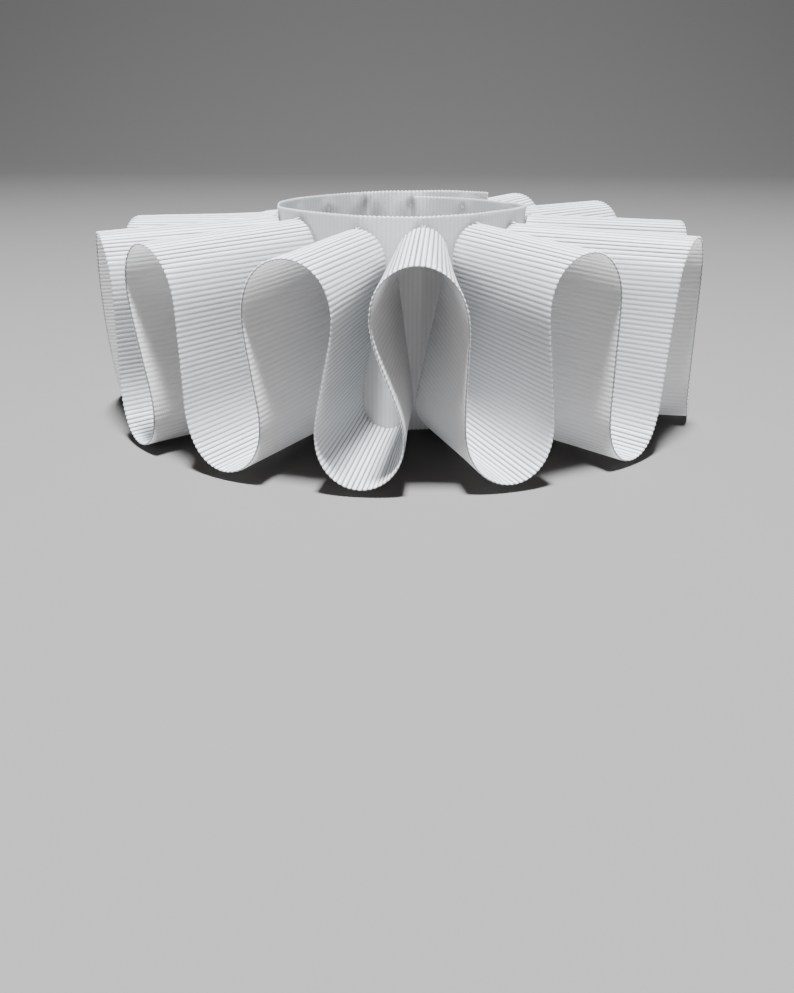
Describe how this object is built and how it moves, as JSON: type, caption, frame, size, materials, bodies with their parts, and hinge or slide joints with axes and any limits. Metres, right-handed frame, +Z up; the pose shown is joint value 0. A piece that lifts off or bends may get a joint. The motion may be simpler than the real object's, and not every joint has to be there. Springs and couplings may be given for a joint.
{
  "type": "wrist ruff",
  "caption": "Stiff white pleated wrist ruff: a ribbed ribbon in tall round loops standing out from a lapped ribbon band.",
  "frame": {"origin": "middle of the outline, on the surface that the lowest folds stand on", "axes": "+Z up through the wrist hole; -Y is the front, opposite the closure, which is at the back right; +X is the right-hand side seen from the front"},
  "size_m": [0.1304, 0.1302, 0.0439],
  "materials": {
    "ruffle_ribbon": "white ribbed ribbon, low sheen",
    "band_ribbon": "white ribbed ribbon, low sheen"
  },
  "bodies": {
    "root": {"ruffle_wave_01": "ruffle_ribbon", "ruffle_wave_02": "ruffle_ribbon", "ruffle_wave_03": "ruffle_ribbon", "ruffle_wave_04": "ruffle_ribbon", "ruffle_wave_05": "ruffle_ribbon", "ruffle_wave_06": "ruffle_ribbon", "ruffle_wave_07": "ruffle_ribbon", "ruffle_wave_08": "ruffle_ribbon", "ruffle_wave_09": "ruffle_ribbon", "ruffle_wave_10": "ruffle_ribbon", "ruffle_wave_11": "ruffle_ribbon", "ruffle_wave_12": "ruffle_ribbon", "ruffle_wave_13": "ruffle_ribbon", "ruffle_wave_14": "ruffle_ribbon", "wrist_band": "band_ribbon"}
  },
  "joints": []
}
